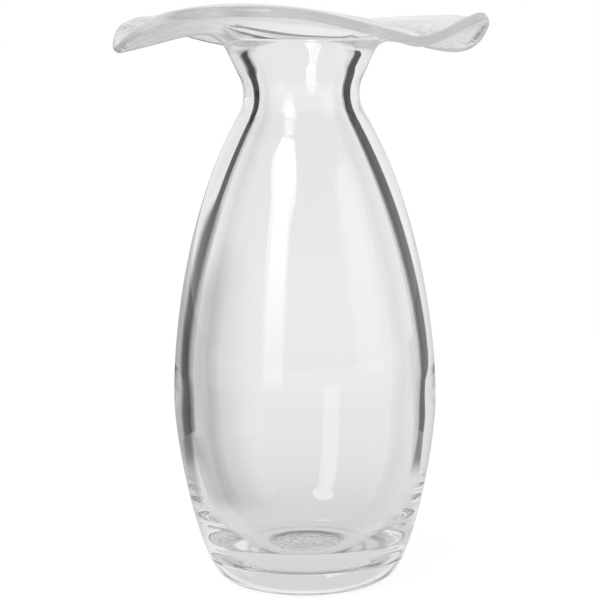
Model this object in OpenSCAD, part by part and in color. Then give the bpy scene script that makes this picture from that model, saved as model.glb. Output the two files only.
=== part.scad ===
// Blown glass vase: thick foot, pear-shaped body, drawn-in neck and a wide wavy collar.
// Millimetres, +Z up. The origin is the centre of the face that it stands on.
// The glass is divided on flat planes square to the axis: foot, body, neck and collar meet face to face.

/* [Foot] */
// Radius of the flat part of the underside
foot_r = 27; // [22:0.5:32]
// Radius of the rounded heel
heel_r = 10; // [7:0.5:12]
// Thickness of the glass under the cavity
base_t = 10; // [8:0.5:14]
// Radius of the ground hollow in the underside
kick_r = 19; // [14:0.5:21]
// Depth of the ground hollow
kick_d = 1.6; // [0.8:0.1:2.4]
// Radius of the flat floor of the cavity
floor_r = 16; // [12:0.5:20]

/* [Body] */
// Largest outer radius
belly_r = 50; // [46:0.2:56]
// Height of the largest radius
belly_z = 71; // [60:1:82]
// Wall thickness at the belly: the outside's largest radius less the cavity's
belly_wall = 5.2; // [4:0.1:6.4]
// Height of the cavity's largest radius
cavity_z = 80; // [72:1:90]

/* [Neck] */
// Outer radius at the waist between body and collar
waist_r = 21.7; // [19.5:0.1:25]
// Height of the waist, outside and inside
waist_z = 186; // [175:1:195]
// Wall thickness at the waist
waist_wall = 5.9; // [5.2:0.1:7]
// Radius of curvature of the waist outside, up and down
waist_fillet = 15; // [10:0.5:18]
// Radius of curvature of the waist inside, up and down
throat_fillet = 24; // [16:0.5:30]
// Height of the neck above the waist
neck_h = 15.6; // [13:0.2:20]
// How far the neck opens outwards over its height
neck_flare = 5.8; // [4.6:0.1:7.5]
// Thickness of the glass at the top of the neck, measured level
neck_top_wall = 6.6; // [5.6:0.1:7.8]

/* [Collar] */
// Outer radius of the collar
rim_r = 70; // [62:0.5:80]
// Mean height of the lip above the neck
rim_rise = 9.3; // [8:0.1:12]
// Height of the waves, up or down from the mean
rim_wave = 6.5; // [4:0.1:8]
// Thickness of the collar where it has folded out from the neck
collar_t = 4.4; // [3.6:0.1:5.4]
// Thickness of the rounded lip
lip_t = 3.7; // [2.8:0.1:4.5]

/* [Hidden] */
$fn = 96;

// Slopes of the profile, in degrees from the axis
heel_a = 30.6;
shoulder_a = 30;
inner_shoulder_a = 27;
// Handle lengths of the profile's curves, as shares of the height or radius that each one spans
hip_share = 0.23;
under_belly_share = 0.24;
over_belly_share = 0.21;
shoulder_share = 0.39;
floor_share = 0.92;
inner_hip_share = 0.23;
inner_over_share = 0.10;
inner_shoulder_share = 0.53;
// Largest radius of curvature at the waist, as a share of the greatest that its height allows
fillet_share = 0.98;
// Points along each curve and arc of the profile
curve_n = 20;
arc_n = 6;
// How far a cutting or clipping shape runs past the glass
over = 1;

// Stations round the lip, anticlockwise from +X. Each has an angle, the height of the lip as a share of
// rim_wave above or below the mean, and the upward slope of the glass at the lip in degrees.
lip_shares = [
    [0, -0.07, 70],
    [30, 0.17, 55],
    [75, -0.16, 15],
    [110, -1.15, -8],
    [150, 0.28, -5],
    [168, 0.00, 5],
    [192, -1.05, -10],
    [210, -0.20, -6],
    [228, 0.73, -8],
    [250, 1.02, -5],
    [272, 0.78, -3],
    [298, -0.36, -13],
    [308, -0.70, -12],
    [330, 0.20, 14],
    [345, 0.44, 47]
];
// Handle lengths of the curve along the collar's underside, as shares of its reach
neck_handle_share = 0.32;
lip_handle_share = 0.55;
// Places along that curve where the section has points
section_shares = [0, 0.025, 0.05, 0.075, 0.10, 0.125, 0.17, 0.24, 0.33, 0.43, 0.54, 0.65, 0.77, 0.89, 1];
// Share of the curve over which the section turns square to it
turn_share = 0.10;
// Share of the curve over which the glass thins from the neck's wall to the collar's
thin_share = 0.12;
// Divisions round the collar and round the lip
collar_n = 108;
lip_n = 5;

collar_z = waist_z + neck_h;
rim_z = collar_z + rim_rise;
neck_top_r = waist_r + neck_flare;

// Point of a cubic curve with end points a, d and handles b, c
function cubic(a, b, c, d, t) =
    pow(1 - t, 3) * a + 3 * pow(1 - t, 2) * t * b + 3 * (1 - t) * t * t * c + pow(t, 3) * d;
// Direction of that curve
function cubic_dir(a, b, c, d, t) =
    pow(1 - t, 2) * (b - a) + 2 * (1 - t) * t * (c - b) + t * t * (d - c);
function unit(v) = v / norm(v);
function curve(a, b, c, d) = [for (i = [1 : curve_n]) cubic(a, b, c, d, i / curve_n)];
// Points of an arc about c from angle a0 to a1
function arc(c, r, a0, a1) =
    [for (i = [0 : arc_n]) let (a = a0 + (a1 - a0) * i / arc_n) c + r * [cos(a), sin(a)]];
// Direction that leans a degrees outwards from straight up
function lean(a) = [sin(a), cos(a)];
// Lean of the straight line that leaves an arc of radius r about c and ends at point p
function leave_a(c, r, p) = 180 - atan2(p[1] - c[1], p[0] - c[0]) - acos(r / norm(p - c));
// Radius r, or less where a straight line could not leave that arc and reach a point so far out and up
function fillet(r, out, up) = min(r, fillet_share * (out * out + up * up) / (2 * out));

// Radius of the ball that grinds the hollow in the underside
kick_ball_r = (kick_r * kick_r + kick_d * kick_d) / (2 * kick_d);

// Outer profile, from the middle of the underside to the collar
heel = arc([foot_r, heel_r], heel_r, -90, -heel_a);
heel_end = heel[arc_n];
belly = [belly_r, belly_z];
neck_top = [neck_top_r, collar_z];
outer_fillet = fillet(waist_fillet, neck_flare, neck_h);
waist_c = [waist_r + outer_fillet, waist_z];
neck_a = leave_a(waist_c, outer_fillet, neck_top);
waist = concat(
    arc(waist_c, outer_fillet, 180 + shoulder_a, 180),
    arc(waist_c, outer_fillet, 180, 180 - neck_a)
);
outer_pts = concat(
    [[0, 0]],
    heel,
    curve(
        heel_end,
        heel_end + hip_share * (belly_z - heel_end[1]) * lean(heel_a),
        belly - [0, under_belly_share * (belly_z - heel_end[1])],
        belly
    ),
    curve(
        belly,
        belly + [0, over_belly_share * (waist[0][1] - belly_z)],
        waist[0] - shoulder_share * (waist[0][1] - belly_z) * lean(-shoulder_a),
        waist[0]
    ),
    [for (i = [1 : len(waist) - 1]) if (i != arc_n) waist[i]],
    [neck_top, [0, collar_z]]
);

// Profile of the cavity, from the middle of its floor to the collar
inner_belly = [belly_r - belly_wall, cavity_z];
throat_r = waist_r - waist_wall;
throat_top = [neck_top_r - neck_top_wall, collar_z];
inner_fillet = fillet(throat_fillet, throat_top[0] - throat_r, neck_h);
throat_c = [throat_r + inner_fillet, waist_z];
throat = concat(
    arc(throat_c, inner_fillet, 180 + inner_shoulder_a, 180),
    arc(throat_c, inner_fillet, 180, 180 - leave_a(throat_c, inner_fillet, throat_top))
);
inner_pts = concat(
    [[0, base_t], [floor_r, base_t]],
    curve(
        [floor_r, base_t],
        [floor_r + floor_share * (inner_belly[0] - floor_r), base_t],
        inner_belly - [0, inner_hip_share * (cavity_z - base_t)],
        inner_belly
    ),
    curve(
        inner_belly,
        inner_belly + [0, inner_over_share * (throat[0][1] - cavity_z)],
        throat[0] - inner_shoulder_share * (throat[0][1] - cavity_z) * lean(-inner_shoulder_a),
        throat[0]
    ),
    [for (i = [1 : len(throat) - 1]) if (i != arc_n) throat[i]],
    [throat_top, throat_top + [0, over], [0, collar_z + over]]
);

// The part of the turned glass between heights z0 and z1
module turned(z0, z1) {
    rotate_extrude()
    intersection() {
        difference() {
            polygon(outer_pts);
            polygon(inner_pts);
        }
        translate([0, z0])
        square([belly_r + over, z1 - z0]);
    }
}

module foot() {
    color([0.93, 0.96, 0.96, 0.5])
    difference() {
        turned(0, base_t);
        translate([0, 0, kick_d - kick_ball_r])
        sphere(kick_ball_r);
    }
}

module body() {
    color([0.90, 0.94, 0.95, 0.4])
    turned(base_t, waist_z);
}

module neck() {
    color([0.88, 0.92, 0.94, 0.4])
    turned(waist_z, collar_z);
}

// Station k of lip_shares, counted on past the last one and back before the first
function station(k) = let (n = len(lip_shares)) lip_shares[(k + n) % n] + [360 * floor(k / n), 0, 0];

// Height share and slope at angle a: a smooth curve through the stations
function lip_at(a) =
    let (
        k = len([for (s = lip_shares) if (s[0] <= a) s]) - 1,
        p = station(k - 1),
        q = station(k),
        r = station(k + 1),
        s = station(k + 2),
        h = r[0] - q[0],
        t = (a - q[0]) / h,
        m0 = (r - p) * h / (r[0] - p[0]),
        m1 = (s - q) * h / (s[0] - q[0])
    )
    q * (2 * pow(t, 3) - 3 * t * t + 1) + m0 * (pow(t, 3) - 2 * t * t + t)
    + r * (3 * t * t - 2 * pow(t, 3)) + m1 * (pow(t, 3) - t * t);

// Smooth step from 0 to 1, which it reaches at t = 1
function smooth(t) = let (u = min(t, 1)) u * u * (3 - 2 * u);
// Thickness of the collar at share t of the underside's curve
function glass_t(t) =
    neck_top_wall + (collar_t - neck_top_wall) * smooth(t / thin_share) + (lip_t - collar_t) * t;

// Closed radial section of the collar at angle a: along the underside, round the lip, back along the top
function section(a) =
    let (
        lip = lip_at(a),
        along = [cos(lip[2]), sin(lip[2])],
        up = [-sin(lip[2]), cos(lip[2])],
        lip_c = [rim_r - lip_t / 2, rim_z + rim_wave * lip[1]],
        to = lip_c - up * lip_t / 2,
        reach = rim_r - neck_top_r,
        h0 = neck_top + neck_handle_share * reach * lean(neck_a),
        h1 = to - lip_handle_share * reach * along,
        under = [for (t = section_shares) cubic(neck_top, h0, h1, to, t)],
        dirs = [for (t = section_shares) unit(cubic_dir(neck_top, h0, h1, to, t))],
        side = [for (i = [0 : len(section_shares) - 1]) let (w = smooth(section_shares[i] / turn_share))
            unit([-w * dirs[i][1] - (1 - w), w * dirs[i][0]])]
    )
    concat(
        under,
        [for (i = [1 : lip_n]) let (b = -90 + 180 * i / (lip_n + 1))
            lip_c + lip_t / 2 * (cos(b) * along + sin(b) * up)],
        [for (i = [len(section_shares) - 1 : -1 : 0]) under[i] + side[i] * glass_t(section_shares[i])]
    );

module collar() {
    m = 2 * len(section_shares) + lip_n;
    pts = [
        for (j = [0 : collar_n - 1])
        let (a = 360 * j / collar_n)
        for (p = section(a)) [p[0] * cos(a), p[0] * sin(a), p[1]]
    ];
    faces = [
        for (j = [0 : collar_n - 1], i = [0 : m - 1])
        let (
            j1 = (j + 1) % collar_n,
            i1 = (i + 1) % m,
            corners = [j * m + i, j * m + i1, j1 * m + i1, j1 * m + i]
        )
        each [[corners[0], corners[1], corners[2]], [corners[0], corners[2], corners[3]]]
    ];
    color([0.84, 0.89, 0.92, 0.45])
    polyhedron(points = pts, faces = faces, convexity = 6);
}

foot();
body();
neck();
collar();
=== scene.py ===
"""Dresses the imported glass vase: one piece of clear blown glass on a pale floor in soft studio light."""
from math import radians

import bpy
import numpy as np
from mathutils import Matrix


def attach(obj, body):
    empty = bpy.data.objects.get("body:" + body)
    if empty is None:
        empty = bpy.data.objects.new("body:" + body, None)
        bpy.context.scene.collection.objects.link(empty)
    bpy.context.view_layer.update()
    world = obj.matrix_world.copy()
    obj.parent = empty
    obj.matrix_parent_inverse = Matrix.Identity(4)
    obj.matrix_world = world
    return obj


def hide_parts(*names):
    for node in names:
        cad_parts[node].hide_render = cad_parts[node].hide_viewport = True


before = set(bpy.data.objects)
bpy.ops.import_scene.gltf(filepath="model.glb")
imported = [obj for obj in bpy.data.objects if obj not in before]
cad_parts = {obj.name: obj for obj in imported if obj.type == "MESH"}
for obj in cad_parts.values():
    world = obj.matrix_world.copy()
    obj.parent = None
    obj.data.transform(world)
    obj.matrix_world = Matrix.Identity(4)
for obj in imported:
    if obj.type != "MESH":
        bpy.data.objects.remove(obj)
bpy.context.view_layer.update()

MM = 0.001

# The vase's own sizes in millimetres and angles in degrees, as in the part's source. The kick is the ground
# hollow underneath
FOOT_R, HEEL_R, HEEL_A = 27.0, 10.0, 30.6
BASE_T, FLOOR_R = 10.0, 16.0
KICK_R, KICK_D = 19.0, 1.6
BELLY_R, BELLY_Z = 50.0, 71.0
BELLY_WALL, CAVITY_BELLY_Z = 5.2, 80.0
WAIST_R, WAIST_Z, WAIST_FILLET = 21.7, 186.0, 15.0
WAIST_WALL, THROAT_FILLET, THROAT_TOP_WALL = 5.9, 24.0, 6.6
NECK_H, NECK_FLARE = 15.6, 5.8
RIM_R, RIM_RISE, RIM_WAVE = 70.0, 9.3, 6.5
COLLAR_T, LIP_T = 4.4, 3.7
SHOULDER_A, INNER_SHOULDER_A = 30.0, 27.0
COLLAR_Z = WAIST_Z + NECK_H
NECK_TOP_R = WAIST_R + NECK_FLARE
THROAT_TOP_R = NECK_TOP_R - THROAT_TOP_WALL

# The edge between the kick and the standing ring: its reach inwards and outwards, in millimetres
KICK_EDGE_IN, KICK_EDGE_OUT = 0.15, 0.05

# Handle lengths of the profile's curves, as shares of the height or radius that each one spans
HIP_SHARE, UNDER_BELLY_SHARE = 0.23, 0.24
OVER_BELLY_SHARE, SHOULDER_SHARE = 0.21, 0.39
FLOOR_SHARE, INNER_HIP_SHARE = 0.92, 0.23
INNER_OVER_SHARE, INNER_SHOULDER_SHARE = 0.10, 0.53
NECK_HANDLE_SHARE, LIP_HANDLE_SHARE = 0.32, 0.55

# Stations round the lip: azimuth in degrees from +X, height as a share of RIM_WAVE, and the slope of the
# glass in degrees
LIP_STATIONS = np.array([
    [0, -0.07, 70], [30, 0.17, 55], [75, -0.16, 15], [110, -1.15, -8], [150, 0.28, -5],
    [168, 0.00, 5], [192, -1.05, -10], [210, -0.20, -6], [228, 0.73, -8], [250, 1.02, -5],
    [272, 0.78, -3], [298, -0.36, -13], [308, -0.70, -12], [330, 0.20, 14], [345, 0.44, 47],
], float)

# Shares of the collar's underside over which its section turns square, and thins from the neck's wall to the
# collar's
TURN_SHARE, THIN_SHARE = 0.10, 0.12

# Points and steps of the mesh: round the axis, along each stretch of the two profiles, and across the
# collar, where the first share of the underside has closer points than the rest
AZIMUTHS = 256
KICK_POINTS, RING_STEPS, HEEL_STEPS, HIP_STEPS, BELLY_STEPS, WAIST_STEPS = 12, 6, 14, 30, 48, 16
FLOOR_STEPS, INNER_HIP_STEPS, INNER_BELLY_STEPS, THROAT_STEPS, NECK_STEPS = 8, 48, 40, 24, 6
CLOSE_SHARE, CLOSE_POINTS, REST_POINTS, LIP_STEPS = 0.16, 16, 40, 12

# The glass. Each noise has features a metre, detail and distortion, and its height is in millimetres. The
# streaks by the lip run round it, because their noise is squeezed upwards and outwards. Places are in metres
GLASS_COLOUR, GLASS_IOR = (0.98, 0.98, 0.98, 1), 1.5
WAVE_NOISE, WAVE_HEIGHT = (16.0, 1.0, 0.0), 0.06
STREAK_NOISE, STREAK_HEIGHT = (14.0, 3.0, 0.4), 0.26
SQUEEZE_UP, SQUEEZE_OUT = 75.0, 30.0
STREAKS_FROM_R, STREAKS_FROM_Z = (0.034, 0.054), (0.203, 0.207)
WORKED_NOISE, WORKED_HEIGHT = (240.0, 1.0, 3.0), 0.80
WORKED_TO_R, WORKED_TO_Z = (0.012, 0.017), (0.003, 0.004)
SCUFF_ROUGHNESS, SCUFF_FROM_R, SCUFF_TO_Z = 0.15, (0.0188, 0.0192), (0.0001, 0.0004)

# Light turns often inside the wall and the foot before it leaves, so it may bounce many times
BOUNCES = 128

# Kinds of light, by how often it turned back inside the glass and how often it crossed the surface. A count
# is whole, so each limit lies between two counts
OFTEN, VERY_OFTEN = 1.5, 3.5
NO_TURN, IN_AND_OUT = 0.5, 2.5

# The studio's floor, in metres. Where the camera sees it, it is a dark colour that holds the shadow, and a
# glow that makes it near white
FLOOR_SPREAD, FLOOR_CORNERS, FLOOR_GAP = 8.0, 96, 0.0002
FLOOR_GLOW, FLOOR_DARK, FLOOR_PLAIN = 0.90, (0.25, 0.25, 0.25, 1), (0.8, 0.8, 0.8, 1)

# Brightness of the floor through the glass: a painted shadow near the vase, with the square roots of the
# distances over which it rises to the room's, and for light that turned often, a painted shade from a darker
# left to a paler right
SHADOW_NEAR_VASE, FLOOR_RISE = 0.69, (0.08, 0.80)
BASE_SHADE_LEFT, BASE_SHADE_RIGHT, BASE_ACROSS = 0.52, 0.74, (-0.2, 0.2)

# Brightness of the floor in reflections, with painted shade: in front of the vase, and behind it from a dark
# left to a paler right
REFLECTED_FRONT, REFLECTED_LEFT, REFLECTED_RIGHT = 0.90, 0.28, 0.60
REFLECTED_BACKWARDS, REFLECTED_ACROSS = (-0.1, 0.2), (-0.3, 0.3)

# Painted shades on the floor through the glass, with distances from the axis in metres and angles in degrees.
# A broad one spreads to the left from a point in front of the vase, and dark wedges of painted shade lead to
# the cards' feet
BROAD_SHADE, BROAD_FRONT, BROAD_ANGLES, BROAD_FROM = 0.58, 0.10, (3, 18), (0.045, 0.085)
LEFT_SHADES_END, LEFT_SHADES_BEHIND = (142, 156), (0.0, 0.03)
LEFT_WEDGE, LEFT_WEDGE_ANGLES, LEFT_WEDGE_FROM = 0.16, (113, 131), (0.12, 0.20)
RIGHT_WEDGE, RIGHT_WEDGE_START, RIGHT_WEDGE_END, RIGHT_WEDGE_FROM = 0.15, (18, 24), (40, 44), (0.11, 0.17)

# Brightness of the room: for diffuse light, in reflections in front and behind, and through the glass
ROOM_FILL = 0.40
ROOM_REFLECTED, ROOM_REFLECTED_BACK, ROOM_BACKWARDS = 0.45, 0.88, (0.0, 0.4)
ROOM_THROUGH, ROOM_TOP, ROOM_OVERHEAD = 0.89, 0.08, (0.30, 0.60)

# The room for light that turned very often, from left to right, and its share of that overhead
TURNED_LEFT, TURNED_RIGHT, TURNED_ACROSS = 0.64, 0.84, (-0.5, 0.5)
TURNED_TOP_SHARE, TURNED_OVERHEAD = 0.46, (0.35, 0.70)

# The room straight through solid glass, by how steeply the light climbs: dimmer in a zone that the foot
# shows, dark above it, and one dark line that the glass round the mouth shows
FOOT_THROUGH, FOOT_ZONE, FOOT_ZONE_END, FOOT_TOP = 0.70, (0.13, 0.20), (0.34, 0.40), (0.42, 0.52)
MOUTH_LINE, MOUTH_LINE_START, MOUTH_LINE_END = 0.30, (0.030, 0.040), (0.050, 0.060)

# The black cards, in metres and degrees, and the heights under which turned and straight light miss them
CARD_BLACK, CARD_DISTANCE, CARD_TOP, CARD_STEPS = (0.005, 0.005, 0.005, 1), 0.24, 0.34, 24
TURNED_MISSES, STRAIGHT_MISSES = (0.18, 0.22), (0.12, 0.15)
RIGHT_CARD, RIGHT_EDGE, RIGHT_EDGE_HEIGHTS, RIGHT_SOFT = (24, 54), (41, 50), (0.0, 0.06), 3
LEFT_CARD, LEFT_EDGE, LEFT_EDGE_HEIGHTS, LEFT_SOFT = (91, 156), (116, 136), (0.145, 0.19), (19, 3)
LEFT_FAINT, LEFT_FAINT_ANGLES = 0.42, (96, 114)
LEFT_FAINT_TOP_SHARE, LEFT_FAINT_HEIGHTS = 0.2, (0.09, 0.135)

# The softboxes face this height on the axis. Each is a strip, whose places are shares of its height. It is
# narrower low down if it has a point on top, and its edge is soft over a share of its half width
LIGHT_AIM_Z = 0.11
STRIP_WIDENS, STRIP_NARROWER, STRIP_POINT, STRIP_EDGE = (0.60, 0.74), 0.34, (0.76, 1.0), 0.12
STRIP_GLOW, STRIP_BRIGHTENS = 1.5, (0.1, 0.95)

# The camera: lens and sensor in millimetres, place in metres, angles in degrees
LENS, SENSOR, SHIFT_X = 121.9, 36, -0.0065
CAMERA_PLACE, CAMERA_DOWN, CAMERA_ROLL = (0, -0.764, 0.2262), 8.82, -0.657


def cubic(a, b, c, d, t):
    """Points at shares t of the cubic curve from a to d with handles b and c."""
    return (1 - t) ** 3 * a + 3 * (1 - t) ** 2 * t * b + 3 * (1 - t) * t ** 2 * c + t ** 3 * d


def cubic_way(a, b, c, d, t):
    """Directions of that curve at shares t, of length one."""
    way = (1 - t) ** 2 * (b - a) + 2 * (1 - t) * t * (c - b) + t ** 2 * (d - c)
    return way / np.linalg.norm(way, axis=-1, keepdims=True)


def bend(a, b, c, d, n):
    """The same curve at n even steps, without its first point."""
    return cubic(a, b, c, d, np.linspace(0, 1, n + 1)[1:, None])


def arc(centre, radius, start, end, n):
    """Arc about centre from angle start to angle end in degrees, n steps, both ends kept."""
    angle = np.radians(np.linspace(start, end, n + 1))
    return np.array(centre) + radius * np.stack([np.cos(angle), np.sin(angle)], 1)


def line(a, b, n):
    """Straight line from a to b in n steps, without its first point."""
    return np.array(a) + np.linspace(0, 1, n + 1)[1:, None] * (np.array(b) - np.array(a))


def lean(degrees):
    """Direction that leans outwards from straight up by so many degrees."""
    return np.array([np.sin(np.radians(degrees)), np.cos(np.radians(degrees))])


def leave_angle(centre, radius, point):
    """Lean in degrees of the straight line that leaves an arc about centre and ends at point: the tangent
    from point to the arc's circle."""
    out, up = np.array(point) - np.array(centre)
    return 180 - np.degrees(np.arctan2(up, out)) - np.degrees(np.arccos(radius / np.hypot(out, up)))


def outside_profile():
    """Radius and height from the middle of the kick, over the standing ring and the heel, up the belly and
    through the waist to the collar, and the neck's lean. The kick is a ball's cap, the heel and the waist
    are arcs, and the belly is two cubic curves that meet upright where it is widest."""
    ball = (KICK_R ** 2 + KICK_D ** 2) / (2 * KICK_D)
    out = np.linspace(0, KICK_R - KICK_EDGE_IN, KICK_POINTS)
    kick = np.stack([out, KICK_D - ball + np.sqrt(ball ** 2 - out ** 2)], 1)
    ring_start = (KICK_R + KICK_EDGE_OUT, 0)
    ring = line(ring_start, (FOOT_R, 0), RING_STEPS)
    heel = arc((FOOT_R, HEEL_R), HEEL_R, -90, -HEEL_A, HEEL_STEPS)
    belly = np.array([BELLY_R, BELLY_Z])
    waist_centre = (WAIST_R + WAIST_FILLET, WAIST_Z)
    neck_top = (NECK_TOP_R, COLLAR_Z)
    neck_a = leave_angle(waist_centre, WAIST_FILLET, neck_top)
    waist = arc(waist_centre, WAIST_FILLET, 180 + SHOULDER_A, 180 - neck_a, WAIST_STEPS)
    low = BELLY_Z - heel[-1][1]
    high = waist[0][1] - BELLY_Z
    hip_handle = heel[-1] + HIP_SHARE * low * lean(HEEL_A)
    shoulder_handle = waist[0] - SHOULDER_SHARE * high * lean(-SHOULDER_A)
    under_belly = bend(heel[-1], hip_handle, belly - [0, UNDER_BELLY_SHARE * low], belly, HIP_STEPS)
    over_belly = bend(belly, belly + [0, OVER_BELLY_SHARE * high], shoulder_handle, waist[0], BELLY_STEPS)
    neck = line(waist[-1], neck_top, NECK_STEPS)
    profile = np.vstack([kick, [ring_start], ring, heel[1:], under_belly, over_belly, waist[1:], neck])
    return profile, neck_a


def cavity_profile():
    """Radius and height from the middle of the cavity's floor, out over the floor, up the wall and through
    the throat to the collar: a level line, two cubic curves that meet upright inside the belly, an arc and a
    straight line."""
    middle = np.array([0, BASE_T])
    floor_edge = np.array([FLOOR_R, BASE_T])
    belly = np.array([BELLY_R - BELLY_WALL, CAVITY_BELLY_Z])
    throat_centre = (WAIST_R - WAIST_WALL + THROAT_FILLET, WAIST_Z)
    throat_top = (THROAT_TOP_R, COLLAR_Z)
    throat_a = leave_angle(throat_centre, THROAT_FILLET, throat_top)
    throat = arc(throat_centre, THROAT_FILLET, 180 + INNER_SHOULDER_A, 180 - throat_a, THROAT_STEPS)
    low = CAVITY_BELLY_Z - BASE_T
    high = throat[0][1] - CAVITY_BELLY_Z
    floor_handle = np.array([FLOOR_R + FLOOR_SHARE * (belly[0] - FLOOR_R), BASE_T])
    shoulder_handle = throat[0] - INNER_SHOULDER_SHARE * high * lean(-INNER_SHOULDER_A)
    hip_handle = belly - [0, INNER_HIP_SHARE * low]
    under_belly = bend(floor_edge, floor_handle, hip_handle, belly, INNER_HIP_STEPS)
    over_handle = belly + [0, INNER_OVER_SHARE * high]
    over_belly = bend(belly, over_handle, shoulder_handle, throat[0], INNER_BELLY_STEPS)
    floor = line(middle, floor_edge, FLOOR_STEPS)
    neck = line(throat[-1], throat_top, NECK_STEPS)
    return np.vstack([[middle], floor, under_belly, over_belly, throat[1:], neck])


def lip_line(azimuth):
    """Height share and slope of the lip at each azimuth: a cubic curve through the stations, whose slope at
    each station is that of the straight line between its two neighbours."""
    wrapped = np.vstack([LIP_STATIONS[-1:] - [360, 0, 0], LIP_STATIONS, LIP_STATIONS[:2] + [360, 0, 0]])
    i = np.searchsorted(LIP_STATIONS[:, 0], azimuth, side="right")
    p, q, r, s = wrapped[i - 1], wrapped[i], wrapped[i + 1], wrapped[i + 2]
    span = (r - q)[:, :1]
    t = (azimuth[:, None] - q[:, :1]) / span
    leaves = (r - p) * span / (r - p)[:, :1]
    arrives = (s - q) * span / (s - q)[:, :1]
    v = (q * (2 * t ** 3 - 3 * t ** 2 + 1) + leaves * (t ** 3 - 2 * t ** 2 + t)
         + r * (3 * t ** 2 - 2 * t ** 3) + arrives * (t ** 3 - t ** 2))
    return v[:, 1], v[:, 2]


def ease(t):
    """Smooth step from 0 to 1 as t goes from 0 to 1: three t squared less two t cubed."""
    u = np.clip(t, 0, 1)
    return u * u * (3 - 2 * u)


def collar_rings(azimuth, neck_a):
    """Underside, rounded lip and top of the collar as rings. At each azimuth the underside is a cubic curve
    that leaves the neck at its lean and ends at the lip at the lip's slope. The top is the underside moved
    by the thickness, level at the neck and soon square to the curve. The thickness falls quickly from the
    neck's to the collar's, which makes the bend between throat and collar, then slowly to the lip's."""
    share, slope = lip_line(azimuth)
    slope = np.radians(slope)
    along = np.stack([np.cos(slope), np.sin(slope)], -1)
    up = np.stack([-np.sin(slope), np.cos(slope)], -1)
    middle = np.stack([np.full_like(slope, RIM_R - LIP_T / 2), COLLAR_Z + RIM_RISE + RIM_WAVE * share], -1)
    start = np.array([NECK_TOP_R, COLLAR_Z])
    end = middle - up * LIP_T / 2
    reach = RIM_R - NECK_TOP_R
    neck_handle = start + NECK_HANDLE_SHARE * reach * lean(neck_a)
    lip_handle = end - LIP_HANDLE_SHARE * reach * along
    close = np.linspace(0, CLOSE_SHARE, CLOSE_POINTS, endpoint=False)
    t = np.concatenate([close, np.linspace(CLOSE_SHARE, 1, REST_POINTS)])[:, None, None]
    under = cubic(start, neck_handle, lip_handle, end, t)
    way = cubic_way(start, neck_handle, lip_handle, end, t)
    turn = ease(t[..., 0] / TURN_SHARE)
    side = np.stack([-turn * way[..., 1] - (1 - turn), turn * way[..., 0]], -1)
    side /= np.linalg.norm(side, axis=-1, keepdims=True)
    thin = ease(t / THIN_SHARE)
    thick = THROAT_TOP_WALL + (COLLAR_T - THROAT_TOP_WALL) * thin + (LIP_T - COLLAR_T) * t
    angle = np.radians(np.linspace(-90, 90, LIP_STEPS + 1)[1:-1])[:, None, None]
    lip = middle + LIP_T / 2 * (np.cos(angle) * along + np.sin(angle) * up)
    return under, lip, (under + side * thick)[::-1]


def rings(profile):
    """The same radius and height at every azimuth, for each point of a profile."""
    return np.repeat(profile[:, None, :], AZIMUTHS, axis=1)


def vase_grid():
    """The whole skin of the vase as a grid of rings by azimuths, from the middle of the kick outside to the
    middle of the cavity's floor inside. A point is its radius turned to its azimuth, at its height."""
    degrees = np.arange(AZIMUTHS) * 360 / AZIMUTHS
    outside, neck_a = outside_profile()
    under, lip, top = collar_rings(degrees, neck_a)
    skin = np.vstack([rings(outside), under[1:], lip, top[:-1], rings(cavity_profile()[::-1])])
    out, up = skin[..., 0], skin[..., 1]
    azimuth = np.radians(degrees)
    return np.stack([out * np.cos(azimuth), out * np.sin(azimuth), up], -1)


def skin_mesh(name, grid):
    """Closed mesh of a grid of rings, in metres: the first and last ring are single points, each in a fan of
    triangles, and the rest are quads. All face outwards."""
    count, n = grid.shape[:2]
    inner = grid[1:-1].reshape(-1, 3)
    points = np.vstack([grid[0, :1], inner, grid[-1, :1]]) * MM
    here = np.arange(n)
    after = (here + 1) % n
    ring = (np.arange(count - 3) * n + 1)[:, None]
    quads = np.stack([ring + here, ring + after, ring + n + after, ring + n + here], -1).reshape(-1, 4)
    last = len(points) - 1
    last_ring = 1 + (count - 3) * n
    first_fan = np.stack([np.zeros(n, int), 1 + after, 1 + here], -1)
    last_fan = np.stack([np.full(n, last), last_ring + here, last_ring + after], -1)
    loops = np.concatenate([quads.ravel(), first_fan.ravel(), last_fan.ravel()])
    starts = np.concatenate([np.arange(len(quads)) * 4, len(quads) * 4 + np.arange(2 * n) * 3])
    mesh = bpy.data.meshes.new(name)
    mesh.vertices.add(len(points))
    mesh.vertices.foreach_set("co", points.astype(np.float32).ravel())
    mesh.loops.add(len(loops))
    mesh.loops.foreach_set("vertex_index", loops.astype(np.int32))
    mesh.polygons.add(len(starts))
    mesh.polygons.foreach_set("loop_start", starts.astype(np.int32))
    mesh.update(calc_edges=True)
    mesh.polygons.foreach_set("use_smooth", np.ones(len(starts), bool))
    mesh.validate()
    return mesh


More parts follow.
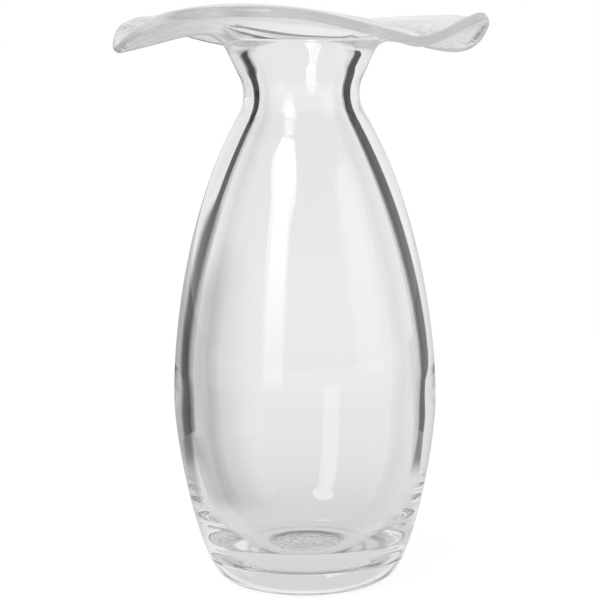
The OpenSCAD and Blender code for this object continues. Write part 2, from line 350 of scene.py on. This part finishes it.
class Nodes:
    """Short ways to add shader nodes to one node tree and link them. A number stands for itself."""

    def __init__(self, tree):
        self.tree = tree

    def add(self, kind):
        """New node of a kind."""
        return self.tree.nodes.new("ShaderNode" + kind)

    def put(self, socket, value):
        """Links an output to a socket, or sets the socket to a number or colour."""
        if isinstance(value, bpy.types.NodeSocket):
            self.tree.links.new(value, socket)
        else:
            socket.default_value = value

    def math(self, operation, a, b=0.0):
        """Result of one Math node on two values."""
        node = self.add("Math")
        node.operation = operation
        self.put(node.inputs[0], a)
        self.put(node.inputs[1], b)
        return node.outputs[0]

    def times(self, product, *values):
        """Product of all the values."""
        for value in values:
            product = self.math("MULTIPLY", product, value)
        return product

    def plus(self, total, *values):
        """Sum of all the values."""
        for value in values:
            total = self.math("ADD", total, value)
        return total

    def step(self, value, between, to_low=0.0, to_high=1.0):
        """Smooth step from to_low to to_high as value goes from the first to the second of two limits."""
        node = self.add("MapRange")
        node.interpolation_type = "SMOOTHSTEP"
        for socket, number in zip(node.inputs, (value, *between, to_low, to_high)):
            self.put(socket, number)
        return node.outputs[0]

    def fade(self, value, between):
        """Smooth step from one down to nothing as value goes from the first to the second of two limits."""
        return self.step(value, between, 1.0, 0.0)

    def mix(self, share, a, b):
        """Value between a and b."""
        node = self.add("Mix")
        node.data_type = "FLOAT"
        self.put(node.inputs[0], share)
        self.put(node.inputs[2], a)
        self.put(node.inputs[3], b)
        return node.outputs[0]

    def noise(self, at, features, detail, distortion):
        """Noise at three values, with so many features a metre."""
        joined = self.add("CombineXYZ")
        for socket, value in zip(joined.inputs, at):
            self.put(socket, value)
        node = self.add("TexNoise")
        self.put(node.inputs["Vector"], joined.outputs[0])
        self.put(node.inputs["Scale"], features)
        self.put(node.inputs["Detail"], detail)
        self.put(node.inputs["Distortion"], distortion)
        return node.outputs[0]

    def apart(self, vector):
        """The three values of a vector."""
        node = self.add("SeparateXYZ")
        self.put(node.inputs[0], vector)
        return node.outputs[0], node.outputs[1], node.outputs[2]

    def place(self, kind="Object"):
        """The x, y and z of a texture coordinate."""
        return self.apart(self.add("TexCoord").outputs[kind])

    def on_light(self):
        """Places across and up an area light, from 0 to 1."""
        across, up, _ = self.apart(self.add("NewGeometry").outputs["Parametric"])
        return across, up

    def radius(self, x, y):
        """Distance from the axis: the square root of the sum of both squares."""
        return self.math("SQRT", self.plus(self.times(x, x), self.times(y, y)))

    def azimuth(self, x, y):
        """Azimuth in degrees from +X."""
        return self.times(self.math("ARCTAN2", y, x), np.degrees(1.0))

    def ray(self, kind):
        """What Light Path says of a ray, such as Is Transmission Ray."""
        return self.add("LightPath").outputs[kind]

    def turned(self, limit):
        """One for light that turned back inside the glass more often than limit."""
        return self.math("GREATER_THAN", self.ray("Glossy Depth"), limit)

    def straight(self):
        """One for light that crossed solid glass only, such as the foot: in and out once, with no turn."""
        once = self.math("LESS_THAN", self.ray("Transmission Depth"), IN_AND_OUT)
        return self.times(once, self.math("LESS_THAN", self.ray("Glossy Depth"), NO_TURN))

    def shader(self, kind, socket, value):
        """Shader of a kind with one socket set."""
        node = self.add(kind)
        self.put(node.inputs[socket], value)
        return node.outputs[0]

    def blend(self, share, a, b):
        """Shader between a and b."""
        node = self.add("MixShader")
        self.put(node.inputs["Fac"], share)
        self.put(node.inputs[1], a)
        self.put(node.inputs[2], b)
        return node.outputs[0]


def bare_material(name):
    """New material with no shader: returns it, its node helper and its surface socket."""
    material = bpy.data.materials.new(name)
    material.use_nodes = True
    material.node_tree.nodes.clear()
    nodes = Nodes(material.node_tree)
    return material, nodes, nodes.add("OutputMaterial").inputs["Surface"]


def clear_glass():
    """Clear blown glass: plain transmission and IOR. Its surface has a faint long wave from the blowing,
    fine drawn-out streaks along the lip from the spinning, and a worked patch in the kick. The standing ring
    is a little scuffed."""
    material = bpy.data.materials.new("clear_glass")
    material.use_nodes = True
    glass = material.node_tree.nodes["Principled BSDF"].inputs
    glass["Base Color"].default_value = GLASS_COLOUR
    glass["IOR"].default_value = GLASS_IOR
    glass["Transmission Weight"].default_value = 1.0
    nodes = Nodes(material.node_tree)
    x, y, z = nodes.place()
    far = nodes.radius(x, y)
    wave = nodes.noise((x, y, z), *WAVE_NOISE)
    squeezed = nodes.plus(nodes.times(z, SQUEEZE_UP), nodes.times(far, SQUEEZE_OUT))
    streaks = nodes.noise((x, y, squeezed), *STREAK_NOISE)
    near_lip = nodes.times(nodes.step(far, STREAKS_FROM_R), nodes.step(z, STREAKS_FROM_Z))
    worked = nodes.noise((x, y, z), *WORKED_NOISE)
    patch = nodes.times(nodes.fade(far, WORKED_TO_R), nodes.fade(z, WORKED_TO_Z))
    height = nodes.plus(nodes.times(wave, WAVE_HEIGHT), nodes.times(streaks, near_lip, STREAK_HEIGHT),
                        nodes.times(worked, patch, WORKED_HEIGHT))
    bump = nodes.add("Bump")
    bump.inputs["Distance"].default_value = MM
    nodes.put(bump.inputs["Height"], height)
    nodes.put(glass["Normal"], bump.outputs[0])
    scuffed = nodes.times(nodes.fade(z, SCUFF_TO_Z), nodes.step(far, SCUFF_FROM_R))
    nodes.put(glass["Roughness"], nodes.times(scuffed, SCUFF_ROUGHNESS))
    return material


def circle(radius, azimuth, z):
    """Points of a level circle about the axis, at azimuths in radians."""
    return np.stack([radius * np.cos(azimuth), radius * np.sin(azimuth), np.full_like(azimuth, z)], -1)


def stage_object(name, points, faces, material):
    """Mesh that belongs to the studio, not to the vase."""
    mesh = bpy.data.meshes.new(name)
    mesh.from_pydata(points.tolist(), [], faces)
    mesh.materials.append(material)
    o = bpy.data.objects.new(name, mesh)
    bpy.context.scene.collection.objects.link(o)
    return o


def floor_shades(nodes, x, y):
    """Share of the floor's brightness that the painted shades leave, the broad one and the two wedges: their
    product, each mixed in where it lies. Light that turned often or came straight through solid glass sees
    none of them."""
    far = nodes.radius(x, y)
    azimuth = nodes.azimuth(x, y)
    aside = nodes.azimuth(nodes.plus(y, BROAD_FRONT), nodes.times(x, -1.0))
    before_card = nodes.times(nodes.fade(far, (CARD_DISTANCE, CARD_DISTANCE + FLOOR_GAP)),
                              nodes.fade(azimuth, LEFT_SHADES_END), nodes.step(y, LEFT_SHADES_BEHIND))
    in_broad = nodes.times(before_card, nodes.step(far, BROAD_FROM))
    broad = nodes.mix(in_broad, 1.0, nodes.step(aside, BROAD_ANGLES, 1.0, BROAD_SHADE))
    in_left = nodes.times(before_card, nodes.step(far, LEFT_WEDGE_FROM))
    left = nodes.mix(in_left, 1.0, nodes.step(azimuth, LEFT_WEDGE_ANGLES, 1.0, LEFT_WEDGE))
    between = nodes.times(nodes.fade(azimuth, RIGHT_WEDGE_END), nodes.step(azimuth, RIGHT_WEDGE_START))
    right = nodes.mix(nodes.times(between, nodes.step(far, RIGHT_WEDGE_FROM)), 1.0, RIGHT_WEDGE)
    shades = nodes.times(left, right, broad)
    return nodes.mix(nodes.math("MAXIMUM", nodes.turned(OFTEN), nodes.straight()), shades, 1.0)


def floor_through(nodes, x, y):
    """Brightness of the floor through the glass. A painted shadow lies near the vase: the level rises with
    the square root of the distance from the axis to the room's. Light that turned often sees instead a
    painted shade that rises from left to right, and light that came straight through solid glass sees the
    room's all over. The painted shades lie on it."""
    # A painted shadow near the vase, and for light that turned often a painted shade darker on the left
    level = nodes.step(nodes.math("SQRT", nodes.radius(x, y)), FLOOR_RISE, SHADOW_NEAR_VASE, ROOM_THROUGH)
    level = nodes.mix(nodes.turned(OFTEN), level, nodes.step(x, BASE_ACROSS, BASE_SHADE_LEFT, BASE_SHADE_RIGHT))
    level = nodes.mix(nodes.straight(), level, ROOM_THROUGH)
    return nodes.times(level, floor_shades(nodes, x, y))


def pale_floor():
    """Round pale floor, just under the standing ring. Light that bounces meets a plain pale floor, and the
    camera sees a near white one with the vase's shadow. Through glass and in reflections it shows painted
    shade instead: a painted shadow near the vase, painted shades to the left and towards the cards' feet, and
    in reflections a painted shade behind the vase that is darker on the left."""
    material, nodes, surface = bare_material("pale_floor")
    x, y, _ = nodes.place()
    # Painted shade in reflections: behind the vase the floor is dark on the left and paler on the right
    behind = nodes.step(x, REFLECTED_ACROSS, REFLECTED_LEFT, REFLECTED_RIGHT)
    reflected = nodes.mix(nodes.step(y, REFLECTED_BACKWARDS), REFLECTED_FRONT, behind)
    level = nodes.mix(nodes.ray("Is Transmission Ray"), reflected, floor_through(nodes, x, y))
    seen = nodes.add("AddShader")
    nodes.put(seen.inputs[0], nodes.shader("BsdfDiffuse", "Color", FLOOR_DARK))
    nodes.put(seen.inputs[1], nodes.shader("Emission", "Strength", FLOOR_GLOW))
    plain = nodes.shader("BsdfDiffuse", "Color", FLOOR_PLAIN)
    direct = nodes.blend(nodes.ray("Is Camera Ray"), plain, seen.outputs[0])
    by_glass = nodes.math("MAXIMUM", nodes.ray("Is Transmission Ray"), nodes.ray("Is Glossy Ray"))
    nodes.put(surface, nodes.blend(by_glass, direct, nodes.shader("Emission", "Strength", level)))
    azimuth = np.linspace(0, 2 * np.pi, FLOOR_CORNERS + 1)[:-1]
    points = circle(FLOOR_SPREAD, azimuth, -FLOOR_GAP)
    return stage_object("floor", points, [tuple(range(FLOOR_CORNERS))], material)


def room_through(nodes, x, z):
    """Brightness of the room through the glass, by the direction of the light: pale all round and dark
    overhead. Light that turned very often, and light that came straight through solid glass, have levels of
    their own."""
    level = nodes.step(z, ROOM_OVERHEAD, ROOM_THROUGH, ROOM_TOP)
    turned = nodes.times(nodes.step(x, TURNED_ACROSS, TURNED_LEFT, TURNED_RIGHT),
                         nodes.step(z, TURNED_OVERHEAD, 1.0, TURNED_TOP_SHARE))
    level = nodes.mix(nodes.turned(VERY_OFTEN), level, turned)
    low = nodes.step(z, FOOT_ZONE, ROOM_THROUGH, FOOT_THROUGH)
    high = nodes.step(z, FOOT_TOP, ROOM_THROUGH, ROOM_TOP)
    straight = nodes.mix(nodes.step(z, FOOT_ZONE_END), low, high)
    mouth_line = nodes.times(nodes.step(z, MOUTH_LINE_START), nodes.fade(z, MOUTH_LINE_END))
    straight = nodes.mix(mouth_line, straight, MOUTH_LINE)
    return nodes.mix(nodes.straight(), level, straight)


def room():
    """World light: white where the camera sees it, and grey levels for diffuse light, for reflections and
    for what shows through the glass."""
    world = bpy.data.worlds.new("room")
    bpy.context.scene.world = world
    world.use_nodes = True
    world.node_tree.nodes.clear()
    nodes = Nodes(world.node_tree)
    x, y, z = nodes.place("Generated")
    reflected = nodes.step(y, ROOM_BACKWARDS, ROOM_REFLECTED, ROOM_REFLECTED_BACK)
    level = nodes.mix(nodes.ray("Is Glossy Ray"), ROOM_FILL, reflected)
    level = nodes.mix(nodes.ray("Is Transmission Ray"), level, room_through(nodes, x, z))
    level = nodes.mix(nodes.ray("Is Camera Ray"), level, 1.0)
    light = nodes.add("Background")
    light.inputs["Color"].default_value = (1, 1, 1, 1)
    nodes.put(light.inputs["Strength"], level)
    nodes.put(nodes.add("OutputWorld").inputs["Surface"], light.outputs[0])


def card_seen(nodes, z):
    """One, but nothing low down for light that turned often or came straight through solid glass, so that
    the cards don't darken the foot."""
    turned = nodes.times(nodes.turned(OFTEN), nodes.fade(z, TURNED_MISSES))
    straight = nodes.times(nodes.straight(), nodes.fade(z, STRAIGHT_MISSES))
    return nodes.math("SUBTRACT", 1.0, nodes.math("MAXIMUM", turned, straight))


def black_card(name, azimuths, solid):
    """Curved card behind the vase that only the glass shows: part of an upright cylinder about the axis,
    between two azimuths in degrees from +X, black as far as solid says for a place and clear elsewhere."""
    material, nodes, surface = bare_material(name)
    x, y, z = nodes.place()
    share = nodes.times(solid(nodes, nodes.azimuth(x, y), z), card_seen(nodes, z))
    clear = nodes.add("BsdfTransparent").outputs[0]
    nodes.put(surface, nodes.blend(share, clear, nodes.shader("BsdfDiffuse", "Color", CARD_BLACK)))
    azimuth = np.radians(np.linspace(*azimuths, CARD_STEPS + 1))
    points = np.vstack([circle(CARD_DISTANCE, azimuth, height) for height in (-FLOOR_GAP, CARD_TOP)])
    faces = np.arange(CARD_STEPS)[:, None] + [0, 1, CARD_STEPS + 2, CARD_STEPS + 1]
    card = stage_object(name, points, faces.tolist(), material)
    card.visible_camera = False
    card.visible_diffuse = False
    card.visible_glossy = False
    card.visible_shadow = False
    card.visible_volume_scatter = False
    return card


def right_solid(nodes, azimuth, z):
    """Right card: a crisp inner edge that draws back to the right towards the floor."""
    inner = nodes.step(z, RIGHT_EDGE_HEIGHTS, *RIGHT_EDGE)
    return nodes.fade(nodes.math("SUBTRACT", azimuth, inner), (0.0, RIGHT_SOFT))


def left_solid(nodes, azimuth, z):
    """Left card: an inner edge that is crisp high up, and moves inwards and softens lower down. Within it
    lies a broad faint shade, which is fainter high up."""
    inner = nodes.step(z, LEFT_EDGE_HEIGHTS, *LEFT_EDGE)
    soft = nodes.step(z, LEFT_EDGE_HEIGHTS, *LEFT_SOFT)
    hard = nodes.step(nodes.math("DIVIDE", nodes.math("SUBTRACT", azimuth, inner), soft), (0.0, 1.0))
    faint = nodes.times(nodes.step(azimuth, LEFT_FAINT_ANGLES, 0.0, LEFT_FAINT),
                        nodes.step(z, LEFT_FAINT_HEIGHTS, 1.0, LEFT_FAINT_TOP_SHARE))
    return nodes.math("MAXIMUM", hard, faint)


def softbox(name, azimuth, elevation, distance, width, height, radiance, point, foot_glow):
    """Studio light that faces the vase from an azimuth in degrees from +X and an elevation. It is an upright
    strip with soft edges. Where point is one, it ends on top in a point and is narrower low down. It falls
    off to foot_glow at its foot. Light that turned often inside the glass doesn't see it."""
    light = bpy.data.lights.new(name, "AREA")
    light.shape = "RECTANGLE"
    light.size, light.size_y = width, height
    light.energy = radiance * np.pi * width * height
    light.use_nodes = True
    nodes = Nodes(light.node_tree)
    across, up = nodes.on_light()
    off = nodes.times(nodes.math("ABSOLUTE", nodes.math("SUBTRACT", across, 0.5)), 2.0)
    half = nodes.times(nodes.step(up, STRIP_WIDENS, 1.0 - STRIP_NARROWER * point, 1.0),
                       nodes.step(up, STRIP_POINT, 1.0, 1.0 - point))
    inside = nodes.step(nodes.math("SUBTRACT", half, off), (0.0, STRIP_EDGE))
    glow = nodes.mix(nodes.turned(OFTEN), nodes.step(up, STRIP_BRIGHTENS, foot_glow, STRIP_GLOW), 0.0)
    emission = light.node_tree.nodes["Emission"]
    nodes.put(emission.inputs["Strength"], nodes.times(inside, glow))
    o = bpy.data.objects.new(name, light)
    turn = Matrix.Rotation(radians(azimuth + 90), 4, "Z") @ Matrix.Rotation(radians(90 - elevation), 4, "X")
    o.matrix_world = Matrix.Translation((0, 0, LIGHT_AIM_Z)) @ turn @ Matrix.Translation((0, 0, distance))
    o.visible_camera = False
    bpy.context.scene.collection.objects.link(o)
    return o


def camera():
    """The photograph's view: from just above the height of the lip, looking slightly down."""
    lens = bpy.data.cameras.new("camera")
    lens.sensor_width = SENSOR
    lens.lens = LENS
    lens.shift_x = SHIFT_X
    o = bpy.data.objects.new("camera", lens)
    turn = Matrix.Rotation(radians(90 - CAMERA_DOWN), 4, "X") @ Matrix.Rotation(radians(CAMERA_ROLL), 4, "Z")
    o.matrix_world = Matrix.Translation(CAMERA_PLACE) @ turn
    bpy.context.scene.collection.objects.link(o)
    bpy.context.scene.camera = o


camera()
vase = bpy.data.objects.new("vase_glass", skin_mesh("vase_glass", vase_grid()))
vase.data.materials.append(clear_glass())
bpy.context.scene.collection.objects.link(vase)
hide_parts("foot", "body", "neck", "collar")
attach(vase, "root")

pale_floor()
room()
black_card("card_right", RIGHT_CARD, right_solid)
black_card("card_left", LEFT_CARD, left_solid)
softbox("softbox_left", azimuth=242, elevation=24, distance=1.0, width=0.56, height=1.16, radiance=3.1,
        point=1.0, foot_glow=0.30)
softbox("softbox_right", azimuth=331, elevation=16, distance=1.0, width=0.60, height=0.75, radiance=0.6,
        point=0.3, foot_glow=0.6)

scene = bpy.context.scene
scene.view_settings.view_transform = "Standard"
scene.cycles.max_bounces = BOUNCES
scene.cycles.glossy_bounces = BOUNCES
scene.cycles.transmission_bounces = BOUNCES
